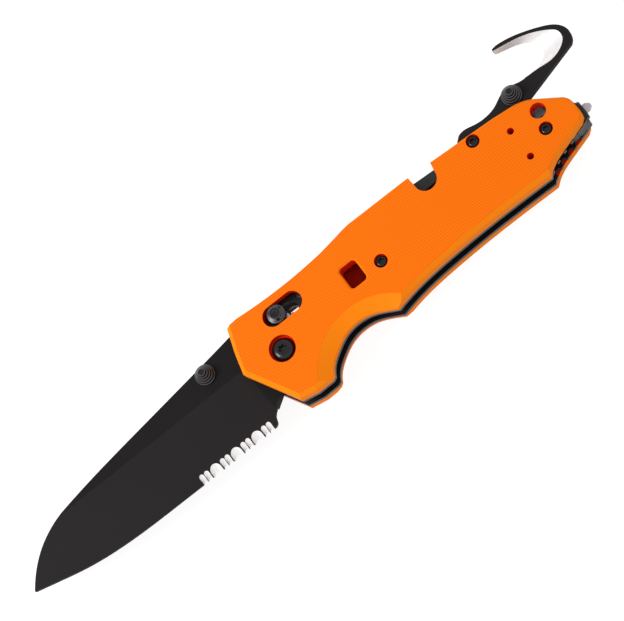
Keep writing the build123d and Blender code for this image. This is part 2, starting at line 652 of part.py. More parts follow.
def lock_knob(tip_z, outward):
    """Thumb knob on one end of the lock bar, turned in rings and dished at its end."""
    with BuildPart() as knob:
        base_z = tip_z - outward * KNOB_LENGTH
        with BuildSketch(Plane(origin=(LOCK_AT[0], LOCK_AT[1], base_z), x_dir=(1, 0, 0),
                               z_dir=(0, -outward, 0))):
            with BuildLine():
                Polyline((0, 0), (LOCK_KNOB_R, 0), (LOCK_KNOB_R, KNOB_LENGTH - 1.5),
                         (LOCK_KNOB_R - 0.45, KNOB_LENGTH - 1.3), (LOCK_KNOB_R - 0.45, KNOB_LENGTH - 0.9),
                         (LOCK_KNOB_R - 0.95, KNOB_LENGTH - 0.7), (LOCK_KNOB_R - 0.95, KNOB_LENGTH - 0.2),
                         (LOCK_KNOB_R - 1.2, KNOB_LENGTH), (LOCK_KNOB_R - 1.8, KNOB_LENGTH),
                         (LOCK_KNOB_R - 2.1, KNOB_LENGTH - 0.4), (0, KNOB_LENGTH - 0.4), close=True)
            make_face()
        revolve(axis=Axis((LOCK_AT[0], LOCK_AT[1], base_z), (0, 0, 1)))
        with BuildSketch(level(tip_z)):
            with Locations(LOCK_AT):
                with PolarLocations(LOCK_KNOB_R - 0.5, KNOB_NOTCHES, 20):
                    Circle(0.55)
        extrude(amount=-outward * 1.0, mode=Mode.SUBTRACT)
    return knob


lock_knob_front = lock_knob(TOP_Z + LOCK_KNOB_PROUD, 1)
lock_knob_front.part.label = "lock_knob_front"
lock_knob_rear = lock_knob(-LOCK_KNOB_PROUD, -1)
lock_knob_rear.part.label = "lock_knob_rear"

SPRING_WIRE_R = 0.3
SPRING_LIFT = 0.6


def lock_spring(middle_z):
    """Bent wire spring that pushes the lock bar back onto the tang, lying in one scale's relief."""
    beside_bar = LOCK_AT[0] + LOCK_BAR_R + MOVING_GAP + SPRING_WIRE_R
    far_end = RELIEF_AT[0] + RELIEF_SIZE[0] / 2 - 1.0
    low = RELIEF_AT[1] - RELIEF_SIZE[1] / 2 + 0.6
    high = RELIEF_AT[1] + RELIEF_SIZE[1] / 2 - 0.6
    with BuildPart() as spring:
        with BuildLine(level(middle_z)) as wire:
            FilletPolyline((beside_bar, high - 1.5), (beside_bar, low), (far_end, low), (far_end, high),
                           (far_end - 6.0, high), radius=1.2)
        with BuildSketch(Plane(origin=wire.line @ 0, z_dir=wire.line % 0)):
            Circle(SPRING_WIRE_R)
        sweep()
    return spring


lock_spring_front = lock_spring(FRONT_SCALE_Z + SPRING_LIFT)
lock_spring_front.part.label = "lock_spring_front"
lock_spring_rear = lock_spring(REAR_SCALE_T - SPRING_LIFT)
lock_spring_rear.part.label = "lock_spring_rear"

# ======================================================================================
# Strap-cutter hook
# ======================================================================================
with BuildPart() as hook_bevel:
    with BuildSketch(level(HOOK_TOP_Z)):
        add(hook_space_near.sketch)
    with BuildSketch(level(HOOK_Z)):
        add(hook_space_far.sketch)
    loft()

with BuildPart() as hook:
    with BuildSketch(level(HOOK_Z)):
        add(hook_profile.sketch)
        with Locations(HOOK_AT):
            Circle(HOOK_POST_R + FIT_GAP, mode=Mode.SUBTRACT)
        with Locations(HOOK_STUD_AT):
            Circle(STUD_SHANK_R + FIT_GAP, mode=Mode.SUBTRACT)
    extrude(amount=HOOK_T)
    add(hook_bevel.part, mode=Mode.SUBTRACT)
hook.part.label = "hook"

hook_stud = thumb_stud(HOOK_STUD_AT, HOOK_TOP_Z, 1, HOOK_T - FIT_GAP)
hook_stud.part.label = "hook_stud"

with BuildPart() as hook_post:
    with BuildSketch(level(FRONT_SCALE_Z)):
        with Locations(HOOK_AT):
            Circle(HOOK_POST_R)
            Circle(SCREW_R + FIT_GAP, mode=Mode.SUBTRACT)
    extrude(amount=POCKET_T)
hook_post.part.label = "hook_post"

with BuildPart() as hook_washer:
    with BuildSketch(level(FRONT_SCALE_Z)):
        with Locations(HOOK_AT):
            Circle(HOOK_ROOT_R - 1.9)
            Circle(HOOK_POST_R + FIT_GAP, mode=Mode.SUBTRACT)
    extrude(amount=HOOK_GAP)
hook_washer.part.label = "hook_washer"

with BuildPart() as hook_detent_ball:
    with Locations((BALL_AT[0], BALL_AT[1], FRONT_SCALE_Z + BALL_LIFT - BALL_R)):
        Sphere(BALL_R)
hook_detent_ball.part.label = "hook_detent_ball"

# ======================================================================================
# Fasteners
# ======================================================================================
PIVOT_SOCKET_R = 1.3
SCREW_SOCKET_R = 1.0
SCREW_HEAD_T = 1.3
PIVOT_HEAD_T = 1.7
CLIP_HEAD_T = 1.0
HEAD_WALL_T = 0.35
SOCKET_DEPTH_SHARE = 0.65


# Head radius, head thickness, socket radius and shank radius of each kind of screw.
PIVOT_SCREW = (PIVOT_HEAD_R, PIVOT_HEAD_T, PIVOT_SOCKET_R, PIVOT_SCREW_R)
SMALL_SCREW = (SCREW_HEAD_R, SCREW_HEAD_T, SCREW_SOCKET_R, SCREW_R)
CLIP_SCREW = (SCREW_HEAD_R, CLIP_HEAD_T, SCREW_SOCKET_R, SCREW_R)


def button_screw(centre, seat_z, outward, kind, shank_length):
    """Domed button-head screw with a six-lobed socket, its shank running inwards from the seat."""
    head_r, head_t, socket_r, shank_r = kind
    flat_r = socket_r + 0.15
    shoulder = (flat_r + 0.68 * (head_r - flat_r), head_t - 0.34 * (head_t - HEAD_WALL_T))
    with BuildPart() as screw:
        with BuildSketch(Plane(origin=(centre[0], centre[1], seat_z), x_dir=(1, 0, 0),
                               z_dir=(0, -outward, 0))):
            with BuildLine():
                dome = ThreePointArc((flat_r, head_t), shoulder, (head_r, HEAD_WALL_T))
                Polyline(dome @ 1, (head_r, 0), (0, 0), (0, head_t), dome @ 0)
            make_face()
        revolve(axis=Axis((centre[0], centre[1], seat_z), (0, 0, 1)))
        with BuildSketch(level(seat_z + outward * head_t)):
            add(lobed_socket(centre, socket_r))
        extrude(amount=-outward * SOCKET_DEPTH_SHARE * head_t, mode=Mode.SUBTRACT)
        with BuildSketch(level(seat_z)):
            with Locations(centre):
                Circle(shank_r)
        extrude(amount=-outward * shank_length)
    return screw


pivot_screw_front = button_screw((0, 0), TOP_Z - PIVOT_RECESS_DEPTH, 1, PIVOT_SCREW, 5.5)
pivot_screw_front.part.label = "pivot_screw_front"
pivot_screw_rear = button_screw((0, 0), PIVOT_RECESS_DEPTH, -1, PIVOT_SCREW, 4.7)
pivot_screw_rear.part.label = "pivot_screw_rear"

front_seat = TOP_Z - SCREW_RECESS_DEPTH
rear_seat = SCREW_RECESS_DEPTH
liner_reach_front = front_seat - FRONT_LINER_Z - 0.1
liner_reach_rear = CHANNEL_Z - rear_seat - 0.1
SPACER_REACH = 1.7

front_screws = [
    button_screw(LINER_SCREW_AT, front_seat, 1, SMALL_SCREW, liner_reach_front),
    button_screw(BUTT_SCREW_AT, front_seat, 1, SMALL_SCREW, liner_reach_front + SPACER_REACH),
]
with BuildPart() as front_scale_screws:
    for screw in front_screws:
        add(screw.part)
front_scale_screws.part.label = "front_scale_screws"

rear_screws = [
    button_screw(LINER_SCREW_AT, rear_seat, -1, SMALL_SCREW, liner_reach_rear),
    button_screw(BUTT_SCREW_AT, rear_seat, -1, SMALL_SCREW, liner_reach_rear + SPACER_REACH),
    button_screw(HOOK_AT, rear_seat, -1, SMALL_SCREW, liner_reach_rear + SPACER_REACH),
]
with BuildPart() as rear_scale_screws:
    for screw in rear_screws:
        add(screw.part)
rear_scale_screws.part.label = "rear_scale_screws"

hook_pivot_screw = button_screw(HOOK_AT, front_seat, 1, SMALL_SCREW, liner_reach_front + SPACER_REACH)
hook_pivot_screw.part.label = "hook_pivot_screw"

with BuildPart() as spine_pin:
    with BuildSketch(level(REAR_LINER_Z)):
        with Locations(SPINE_SCREW_AT):
            Circle(SCREW_R)
    extrude(amount=FRONT_SCALE_Z - REAR_LINER_Z)
spine_pin.part.label = "spine_pin"

# ======================================================================================
# Pocket clip
# ======================================================================================
clip_middle_y = (CLIP_HOLE_YS[0] + CLIP_HOLE_YS[1]) / 2
clip_pad_w = CLIP_HOLE_YS[0] - CLIP_HOLE_YS[1] + 2 * 3.0
CLIP_PAD_L = 9.0
with BuildPart() as pocket_clip:
    with BuildSketch(level(0)):
        with Locations((CLIP_X, clip_middle_y)):
            RectangleRounded(CLIP_PAD_L, clip_pad_w, 2.5)
        with Locations((CLIP_X - CLIP_PAD_L, clip_middle_y)):
            Rectangle(CLIP_PAD_L, CLIP_W)
        with Locations([(CLIP_X, y) for y in CLIP_HOLE_YS]):
            Circle(CLIP_HOLE_R, mode=Mode.SUBTRACT)
    extrude(amount=-CLIP_T)
    arm_start = CLIP_X - CLIP_PAD_L
    arm_end = CLIP_X - CLIP_LENGTH
    with BuildSketch(Plane(origin=(0, clip_middle_y, 0), x_dir=(1, 0, 0), z_dir=(0, -1, 0))):
        with BuildLine():
            arm_top = Polyline((arm_start, 0), (arm_start - 3.0, -CLIP_SPACE),
                               (arm_end + 9.0, -CLIP_SPACE * 0.7),
                               (arm_end + 5.0, -MOVING_GAP), (arm_end + 3.5, -MOVING_GAP),
                               (arm_end, -CLIP_BUMP))
            Polyline(arm_top @ 1, (arm_end + 0.3, -CLIP_BUMP - CLIP_T),
                     (arm_end + 3.5, -MOVING_GAP - CLIP_T),
                     (arm_end + 5.0, -MOVING_GAP - CLIP_T), (arm_end + 9.0, -CLIP_SPACE * 0.7 - CLIP_T),
                     (arm_start - 3.0, -CLIP_SPACE - CLIP_T), (arm_start + 0.2, -CLIP_T), arm_top @ 0)
        make_face()
    extrude(amount=CLIP_W / 2, both=True)
    fillet(pocket_clip.edges().filter_by(Axis.Z).sort_by(Axis.X)[:2], 2.0)
pocket_clip.part.label = "pocket_clip"

clip_screw_parts = [
    button_screw((CLIP_X, y), -CLIP_T, -1, CLIP_SCREW, REAR_SCALE_T) for y in CLIP_HOLE_YS
]
with BuildPart() as clip_screws:
    for screw in clip_screw_parts:
        add(screw.part)
clip_screws.part.label = "clip_screws"

# ======================================================================================
# Export, with the origin under the middle of the knife
# ======================================================================================
pieces = [
    front_scale, rear_scale, front_liner, rear_liner, butt_spacer, spine_spacer, pivot_pin, stop_pins,
    washer_front, washer_rear, breaker_collar, breaker_tip, blade, blade_stud_front, blade_stud_rear,
    lock_bar, lock_knob_front, lock_knob_rear, lock_spring_front, lock_spring_rear, hook, hook_stud,
    hook_post, hook_washer, hook_detent_ball, pivot_screw_front, pivot_screw_rear, front_scale_screws,
    rear_scale_screws, hook_pivot_screw, spine_pin, pocket_clip, clip_screws,
]
boxes = [piece.part.bounding_box() for piece in pieces]
low_x = min(box.min.X for box in boxes)
high_x = max(box.max.X for box in boxes)
low_y = min(box.min.Y for box in boxes)
high_y = max(box.max.Y for box in boxes)
low_z = min(box.min.Z for box in boxes)
shift = Vector(-(low_x + high_x) / 2, -(low_y + high_y) / 2, -low_z)
print("size", high_x - low_x, high_y - low_y, max(box.max.Z for box in boxes) - low_z)
print("blade pivot", shift, "lock", shift + Vector(*LOCK_AT), "hook pivot", shift + Vector(*HOOK_AT))

os.makedirs("parts", exist_ok=True)
for piece in pieces:
    name = piece.part.label
    piece.part.locate(Location(shift) * piece.part.location)
    piece.part.label = name
    export_step(piece.part, f"parts/{name}.step")
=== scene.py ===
# %% [markdown]
# # A folding rigging knife, finished in Blender
#
# The knife comes in as a frame of CAD parts at their real size. Here each part gets the finish
# that the real one has: a ridged orange laminate, a matt black blade with bare ground teeth,
# turned studs and glossy screws. Every length is in metres, in the frame of the CAD.

# %% Load the knife
import json
import math

import bpy
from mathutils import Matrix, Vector


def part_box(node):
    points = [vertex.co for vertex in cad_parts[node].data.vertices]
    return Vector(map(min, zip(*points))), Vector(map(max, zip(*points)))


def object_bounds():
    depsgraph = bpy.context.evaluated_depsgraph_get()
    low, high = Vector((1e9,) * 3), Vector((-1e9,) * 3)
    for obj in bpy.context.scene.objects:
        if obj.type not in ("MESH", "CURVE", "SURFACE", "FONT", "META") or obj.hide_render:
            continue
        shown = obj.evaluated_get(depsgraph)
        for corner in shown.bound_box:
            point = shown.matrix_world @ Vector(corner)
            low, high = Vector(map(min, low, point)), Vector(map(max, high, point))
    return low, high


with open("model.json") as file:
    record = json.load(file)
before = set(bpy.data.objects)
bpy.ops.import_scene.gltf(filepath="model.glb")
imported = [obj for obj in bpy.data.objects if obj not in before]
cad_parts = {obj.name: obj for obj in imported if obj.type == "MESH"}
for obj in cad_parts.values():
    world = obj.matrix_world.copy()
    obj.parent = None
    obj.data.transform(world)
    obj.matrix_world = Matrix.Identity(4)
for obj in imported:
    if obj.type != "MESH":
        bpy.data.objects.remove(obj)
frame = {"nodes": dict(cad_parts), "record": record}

cad_box = [list(corner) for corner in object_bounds()]
nodes = frame["nodes"]
print("pieces in the frame:", len(nodes), "box:", cad_box)

# %% The blade's pivot, which other places are measured from
MM = 0.001
joints = {joint["name"]: joint for joint in frame["record"]["behaviour"]["joints"]}
pivot = Vector(joints["blade_pivot"]["pos_m"])
print("blade pivot at", [round(value / MM, 2) for value in pivot], "mm")

# %% [markdown]
# ## Shader groups
#
# An effect that several finishes share is built once as a node group, with its settings as
# inputs, and placed in each material with its own values. The same nodes could be copied into
# every material, but then a change has to be made in each of them.

# %% Helpers for shader groups
def add_node(tree, kind, **settings):
    """A node of this kind, with attributes set by name."""
    node = tree.nodes.new(kind)
    for name, value in settings.items():
        setattr(node, name, value)
    return node


def object_place(tree):
    """The socket that gives Object coordinates."""
    return add_node(tree, "ShaderNodeTexCoord").outputs["Object"]


def axes_of(tree, vector):
    """The x, y and z sockets of a vector socket."""
    split = add_node(tree, "ShaderNodeSeparateXYZ")
    tree.links.new(vector, split.inputs[0])
    return split.outputs["X"], split.outputs["Y"], split.outputs["Z"]


def group_start(name, inputs, outputs):
    """A new shader group with float inputs (name, default) and float outputs (name)."""
    group = bpy.data.node_groups.new(name, "ShaderNodeTree")
    for label, value in inputs:
        socket = group.interface.new_socket(label, in_out="INPUT", socket_type="NodeSocketFloat")
        socket.default_value = value
    for label in outputs:
        group.interface.new_socket(label, in_out="OUTPUT", socket_type="NodeSocketFloat")
    return group, group.nodes.new("NodeGroupInput"), group.nodes.new("NodeGroupOutput")


def place_group(tree, group, **values):
    """This group placed in a tree, with inputs set by name."""
    node = add_node(tree, "ShaderNodeGroup", node_tree=group)
    for label, value in values.items():
        node.inputs[label.replace("_", " ")].default_value = value
    return node


# %% [markdown]
# ## Small-scale colour and gloss variation
#
# No made surface is quite even. This group gives a slow cloud for gentle changes of colour and
# gloss, and a fine grain for bump. Scanned images could give them too, but noise on Object
# coordinates needs no unwrapping and stays on the piece when it moves.

# %% Unevenness group
CLOUD_SCALE = 60.0
CLOUD_DETAIL = 3.0
GRAIN_SCALE = 4000.0
GRAIN_DETAIL = 1.0


def uneven_group():
    group, start, end = group_start(
        "unevenness", [("Cloud Scale", CLOUD_SCALE), ("Grain Scale", GRAIN_SCALE)], ["Cloud", "Grain"]
    )
    place = object_place(group)
    for label, detail in (("Cloud", CLOUD_DETAIL), ("Grain", GRAIN_DETAIL)):
        noise = add_node(group, "ShaderNodeTexNoise")
        noise.inputs["Detail"].default_value = detail
        group.links.new(place, noise.inputs["Vector"])
        group.links.new(start.outputs[label + " Scale"], noise.inputs["Scale"])
        group.links.new(noise.outputs["Fac"], end.inputs[label])
    return group


unevenness = uneven_group()
print("group", unevenness.name, "has", len(unevenness.nodes), "nodes")

# %% [markdown]
# ## Telling cut faces from flat ones
#
# On this knife a change of finish mostly follows a change of slope: a moulded or coated face lies
# flat, and what was ground, chamfered or turned afterwards slants. The same mask also places
# painted light: highlights on the slopes of the metals and painted shade on the inner faces of the
# laminate. Each face could be picked by hand, but there are thousands. So this group reads how
# level a face lies, from 0 for an upright wall to 1 for a level face, and masks the faces between
# two limits. The joints turn about upright axes or slide level, so the mask holds at every pose.

# %% Sums in a node tree
def math_node(tree, operation, first, second=None, third=None):
    """A Math node whose inputs are sockets or plain numbers; returns its output socket."""
    node = add_node(tree, "ShaderNodeMath", operation=operation)
    for index, value in enumerate((first, second, third)):
        if value is None:
            continue
        if isinstance(value, (int, float)):
            node.inputs[index].default_value = value
        else:
            tree.links.new(value, node.inputs[index])
    return node.outputs[0]


# %% Slanted faces group
NO_LOWER_LIMIT = -1.0
NO_UPPER_LIMIT = 1.1


def slanted_group():
    group, start, end = group_start("slanted_faces", [("From", 0.05), ("To", 0.985)], ["Mask"])
    normal = add_node(group, "ShaderNodeTexCoord").outputs["Normal"]
    level = math_node(group, "ABSOLUTE", axes_of(group, normal)[2])
    above = math_node(group, "GREATER_THAN", level, start.outputs["From"])
    below = math_node(group, "LESS_THAN", level, start.outputs["To"])
    group.links.new(math_node(group, "MULTIPLY", above, below), end.inputs["Mask"])
    return group


slanted_faces = slanted_group()


def slant_mask(tree, lowest=NO_LOWER_LIMIT, highest=NO_UPPER_LIMIT):
    """Mask of the faces that lie level to between these two shares."""
    return place_group(tree, slanted_faces, From=lowest, To=highest).outputs["Mask"]


print("shader groups:", [group.name for group in bpy.data.node_groups])

# %% [markdown]
# ## The ridges of the laminate
#
# The scales are fibre laminate, moulded with fine parallel ridges that cross the handle, each
# broken up by a shallower ridge the other way. Thousands of modelled ridges would be heavy, so
# sine waves in Object coordinates make both as bump and colour. The colour is painted light and
# shade: the tops lighter and the valleys darker. The second ridge is weaker and wider, so that
# the lines across the handle lead.

# %% Ridge group
RIDGE_PITCH = 0.56 * MM
RIDGE_TURN = math.radians(86)
CROSS_PITCH_SHARE = 1.5
RIDGE_SHARE = 0.7
CROSS_SHARE = 0.3


def ridge_group():
    group, start, end = group_start(
        "moulded_ridges", [("Pitch", RIDGE_PITCH), ("Turn", RIDGE_TURN)], ["Height"]
    )
    x, y = axes_of(group, object_place(group))[:2]
    across = math_node(group, "COSINE", start.outputs["Turn"])
    along = math_node(group, "SINE", start.outputs["Turn"])

    def product(first, second):
        return math_node(group, "MULTIPLY", first, second)

    main_line = math_node(group, "ADD", product(x, along), product(y, across))
    cross_line = math_node(group, "SUBTRACT", product(y, along), product(x, across))
    waves = []
    for line, share in ((main_line, 1.0), (cross_line, CROSS_PITCH_SHARE)):
        turns = math_node(group, "DIVIDE", line, start.outputs["Pitch"])
        wave = math_node(group, "SINE", product(turns, 2 * math.pi / share))
        waves.append(math_node(group, "MULTIPLY_ADD", wave, 0.5, 0.5))
    height = math_node(group, "MULTIPLY_ADD", waves[1], CROSS_SHARE, product(waves[0], RIDGE_SHARE))
    group.links.new(height, end.inputs["Height"])
    return group


moulded_ridges = ridge_group()
print("ridges every", RIDGE_PITCH / MM, "mm, turned", round(math.degrees(RIDGE_TURN)), "degrees")

# %% [markdown]
# ## Where the laminate is cut
#
# Only the moulded outer faces have ridges. Chamfers, the finger scoop and the outer walls are cut
# through the fibre, so they are smooth, and about as light as the tops of the ridges. In the
# holes and against the liners, where little light comes in, the orange deepens to a strong red.
# The light alone doesn't deepen it enough, so those faces get the red painted on as shade. Slope
# can't tell the wall of a hole from an outer wall, so a round mask is laid over each hole.

# %% Laminate colours
def srgb(red, green, blue):
    """Linear colour for the shader from the 0 to 255 values that a screen shows."""
    def linear(value):
        value = value / 255
        return value / 12.92 if value <= 0.04045 else ((value + 0.055) / 1.055) ** 2.4
    return (linear(red), linear(green), linear(blue))


# painted light and shade: lighter ridge tops and darker ridge valleys, mixed by ridge height
LIT_RIDGE_TOP = srgb(255, 136, 14)
SHADED_RIDGE_VALLEY = srgb(236, 84, 0)
CLOUDED_ORANGE = srgb(255, 112, 6)
CUT_SLOPE = srgb(255, 134, 12)
# painted shade: the deep red of hole walls and inner faces, where little light comes in
PAINTED_SHADE_RED = srgb(232, 40, 2)
print("ridge top in linear light:", [round(channel, 3) for channel in LIT_RIDGE_TOP])

# %% Places of the holes
RECESS_SHARE = 1.17
SLOT_STEPS_MM = (1.6, 4.5, 8.0)
SLOT_REACH_MM = 4.2
HOLES_MM = {
    "wrench window": (28.85, 4.4, 5.2),
    "liner screw": (37.5, 2.2, 2.4),
    "butt screw": (97.4, 2.5, 2.4),
    "lanyard hole": (98.8, 8.2, 2.8),
    "upper clip hole": (89.1, 8.5, 1.6),
    "lower clip hole": (89.1, -1.2, 1.6),
}


def hole_places():
    """Centre x, centre y and radius of a circle over each hole, from its piece or the pivot."""
    places = []
    for name in ("pivot_screw_front", "hook_pivot_screw"):
        low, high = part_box(name)
        radius = RECESS_SHARE * (high.x - low.x) / 2
        places.append(((low.x + high.x) / 2, (low.y + high.y) / 2, radius))
    low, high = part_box("lock_knob_front")
    for along in SLOT_STEPS_MM:
        places.append((low.x + along * MM, (low.y + high.y) / 2, SLOT_REACH_MM * MM))
    for across, up, radius in HOLES_MM.values():
        places.append((pivot.x + across * MM, pivot.y + up * MM, radius * MM))
    return places


print("round masks over the holes:", len(hole_places()))

# %% Mask over the holes
def hole_mask(tree, x, y):
    """1 within any of the circles over the holes."""
    mask = None
    for centre_x, centre_y, radius in hole_places():
        beside = math_node(tree, "SUBTRACT", x, centre_x)
        above = math_node(tree, "SUBTRACT", y, centre_y)
        above_squared = math_node(tree, "MULTIPLY", above, above)
        reach = math_node(tree, "MULTIPLY_ADD", beside, beside, above_squared)
        inside = math_node(tree, "LESS_THAN", reach, radius * radius)
        mask = inside if mask is None else math_node(tree, "MAXIMUM", mask, inside)
    return mask


# %% [markdown]
# ## Building a material
#
# Every finish starts from a Principled shader whose fixed values are set on its sockets. Colours
# are then mixed by masks, and bump gives the small relief. A CAD node's mesh keeps its shape: it
# only gets the material.

# %% Helpers for materials
def mix_colours(tree, mask, first, second):
    """A colour that goes from first to second as the mask rises."""
    node = add_node(tree, "ShaderNodeMix", data_type="RGBA")
    tree.links.new(mask, node.inputs["Factor"])
    for label, value in (("A", first), ("B", second)):
        socket = [s for s in node.inputs if s.name == label and s.type == "RGBA"][0]
        if isinstance(value, tuple):
            socket.default_value = (*value, 1.0)
        else:
            tree.links.new(value, socket)
    return [s for s in node.outputs if s.type == "RGBA"][0]


def new_material(name, roughness, metallic=0.0, **sockets):
    """A Principled material; returns it, its tree and its shader."""
    material = bpy.data.materials.new(name)
    material.use_nodes = True
    shader = material.node_tree.nodes["Principled BSDF"]
    shader.inputs["Roughness"].default_value = roughness
    shader.inputs["Metallic"].default_value = metallic
    for label, value in sockets.items():
        shader.inputs[label.replace("_", " ")].default_value = value
    return material, material.node_tree, shader


def add_bump(tree, shader, height, strength, distance):
    """Relief from a height socket."""
    bump = add_node(tree, "ShaderNodeBump")
    bump.inputs["Strength"].default_value = strength
    bump.inputs["Distance"].default_value = distance
    tree.links.new(height, bump.inputs["Height"])
    tree.links.new(bump.outputs["Normal"], shader.inputs["Normal"])


def dress(material, *names):
    """Give this material to CAD nodes."""
    for name in names:
        mesh = nodes[name].data
        mesh.materials.clear()
        mesh.materials.append(material)


# %% [markdown]
# ## The orange laminate
#
# The height of a point tells the moulded outer face from the cut and inner ones. Ridges show
# there in relief, and in colour as painted light and shade. Below it, upright faces within the
# round masks and level faces turn red as painted shade, and the rest is the smooth cut orange.

# %% Laminate material
RIDGE_HEIGHT = 0.07 * MM
FACE_DEPTH = 0.03 * MM
WALL_TO = 0.3
LEVEL_FROM = 0.995
CLOUD_SHARE = 0.25
GRAIN_SHARE = 0.12


def laminate_material():
    material, tree, shader = new_material("orange_laminate", roughness=0.6, Specular_IOR_Level=0.06)
    x, y, z = axes_of(tree, object_place(tree))
    ridges = place_group(tree, moulded_ridges)
    uneven = place_group(tree, unevenness)
    low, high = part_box("rear_scale")[0].z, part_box("front_scale")[1].z
    middle, half = (low + high) / 2, (high - low) / 2
    from_middle = math_node(tree, "ABSOLUTE", math_node(tree, "SUBTRACT", z, middle))
    on_face = math_node(tree, "GREATER_THAN", from_middle, half - FACE_DEPTH)
    # painted shade: upright walls within the hole masks and level inner faces turn red
    shaded_hole_walls = math_node(tree, "MULTIPLY", hole_mask(tree, x, y), slant_mask(tree, highest=WALL_TO))
    red = math_node(tree, "MAXIMUM", shaded_hole_walls, slant_mask(tree, lowest=LEVEL_FROM))
    cut = mix_colours(tree, red, CUT_SLOPE, PAINTED_SHADE_RED)
    # painted light and shade: the colour goes from the darker valleys to the lighter tops with ridge
    # height
    ridged = mix_colours(tree, ridges.outputs["Height"], SHADED_RIDGE_VALLEY, LIT_RIDGE_TOP)
    clouded = math_node(tree, "MULTIPLY", uneven.outputs["Cloud"], CLOUD_SHARE)
    ridged = mix_colours(tree, clouded, ridged, CLOUDED_ORANGE)
    tree.links.new(mix_colours(tree, on_face, cut, ridged), shader.inputs["Base Color"])
    raised = math_node(tree, "MULTIPLY", ridges.outputs["Height"], on_face)
    raised = math_node(tree, "MULTIPLY_ADD", uneven.outputs["Grain"], GRAIN_SHARE, raised)
    add_bump(tree, shader, raised, strength=0.6, distance=RIDGE_HEIGHT)
    return material


orange_laminate = laminate_material()
dress(orange_laminate, "front_scale", "rear_scale")
print(orange_laminate.name, "has", len(orange_laminate.node_tree.nodes), "nodes")

# %% [markdown]
# ## Blade and hook
#
# Both are coated matt black, and are ground again after the coating where they cut: the teeth and
# the bevels of the hook are bare steel with fine scratches. That bare steel is painted near white,
# a painted reflection of the white surroundings. On the teeth the scratches run across the edge.
# Two materials with split meshes could do it. Finding the bare places by slope and place keeps
# each piece whole, and the same function can dress both.

# %% Steel colours
COATED_FLAT = srgb(17, 15, 16)
COATED_GRIND = srgb(29, 26, 27)
CLOUDED_COAT = srgb(44, 40, 41)
# painted reflection: bare steel coloured near white, as the white surroundings it reflects
BARE_STEEL_WITH_PAINTED_REFLECTION = srgb(254, 253, 253)
SCRATCHED_STEEL_WITH_PAINTED_REFLECTION = srgb(214, 208, 208)
print("flats and grinds of the coat:", [round(tone[0], 4) for tone in (COATED_FLAT, COATED_GRIND)])

# %% Scratches of the grinding belt
SCRATCH_DETAIL = 2.0


def scratch_mask(tree, place, stretch):
    """Fine streaks: a noise that is stretched along the stroke of the grinding belt."""
    mapping = add_node(tree, "ShaderNodeMapping")
    mapping.inputs["Scale"].default_value = stretch
    tree.links.new(place, mapping.inputs["Vector"])
    noise = add_node(tree, "ShaderNodeTexNoise")
    noise.inputs["Scale"].default_value = 1.0
    noise.inputs["Detail"].default_value = SCRATCH_DETAIL
    tree.links.new(mapping.outputs["Vector"], noise.inputs["Vector"])
    return noise.outputs["Fac"]


# %% Coated steel
COAT_ROUGHNESS = 0.6
COAT_CLOUD_SHARE = 0.2
COAT_GRAIN_SCALE = 2600.0
BARE_ROUGHNESS = 0.32
BARE_METALLIC = 0.45
GRIND_FROM = 0.5
GRIND_TO = 0.999


def coated_steel(name, coat_colour, bare_place, stretch):
    """Matt black steel that is bare where bare_place(tree, x, y) gives 1."""
    material, tree, shader = new_material(name, roughness=COAT_ROUGHNESS, Specular_IOR_Level=0.1)
    place = object_place(tree)
    x, y = axes_of(tree, place)[:2]
    uneven = place_group(tree, unevenness, Grain_Scale=COAT_GRAIN_SCALE)
    bare = bare_place(tree, x, y)
    coat = mix_colours(tree, slant_mask(tree, GRIND_FROM, GRIND_TO), coat_colour, COATED_GRIND)
    clouded = math_node(tree, "MULTIPLY", uneven.outputs["Cloud"], COAT_CLOUD_SHARE)
    coat = mix_colours(tree, clouded, coat, CLOUDED_COAT)
    # real scratch streaks, mixed between two near-white steels whose brightness is a painted reflection
    steel = mix_colours(tree, scratch_mask(tree, place, stretch), SCRATCHED_STEEL_WITH_PAINTED_REFLECTION, BARE_STEEL_WITH_PAINTED_REFLECTION)
    tree.links.new(mix_colours(tree, bare, coat, steel), shader.inputs["Base Color"])
    metallic = math_node(tree, "MULTIPLY", bare, BARE_METALLIC)
    tree.links.new(metallic, shader.inputs["Metallic"])
    roughness = math_node(tree, "MULTIPLY_ADD", bare, BARE_ROUGHNESS - COAT_ROUGHNESS, COAT_ROUGHNESS)
    tree.links.new(roughness, shader.inputs["Roughness"])
    add_bump(tree, shader, uneven.outputs["Grain"], strength=0.25, distance=0.02 * MM)
    return material


# %% Blade finish
TEETH_TOP = pivot.y - 11.3 * MM
TEETH_END = pivot.x - 14.5 * MM
TOOTH_FROM = 0.04
TOOTH_TO = 0.985
BLADE_STROKE = (5000.0, 500.0, 500.0)


def bare_on_blade(tree, x, y):
    """The scalloped teeth: slopes that are low on the blade and ahead of its heel."""
    low_down = math_node(tree, "LESS_THAN", y, TEETH_TOP)
    ahead = math_node(tree, "LESS_THAN", x, TEETH_END)
    near_edge = math_node(tree, "MULTIPLY", low_down, ahead)
    return math_node(tree, "MULTIPLY", near_edge, slant_mask(tree, TOOTH_FROM, TOOTH_TO))


blade_finish = coated_steel("blade_finish", COATED_FLAT, bare_on_blade, BLADE_STROKE)
dress(blade_finish, "blade")
print("teeth are bare below", round((TEETH_TOP - pivot.y) / MM, 1), "mm from the pivot")

# %% [markdown]
# ## The hook
#
# The strap cutter gets the same kind of finish as the blade. Its coat is a little lighter than the
# blade's flats, and every slanted face on it is ground, so slope alone finds the bare bevel.

# %% Hook finish
BEVEL_FROM = 0.05
BEVEL_TO = 0.99
HOOK_STROKE = (900.0, 5000.0, 900.0)


def bare_on_hook(tree, x, y):
    """The ground bevel: every slanted face."""
    return slant_mask(tree, BEVEL_FROM, BEVEL_TO)


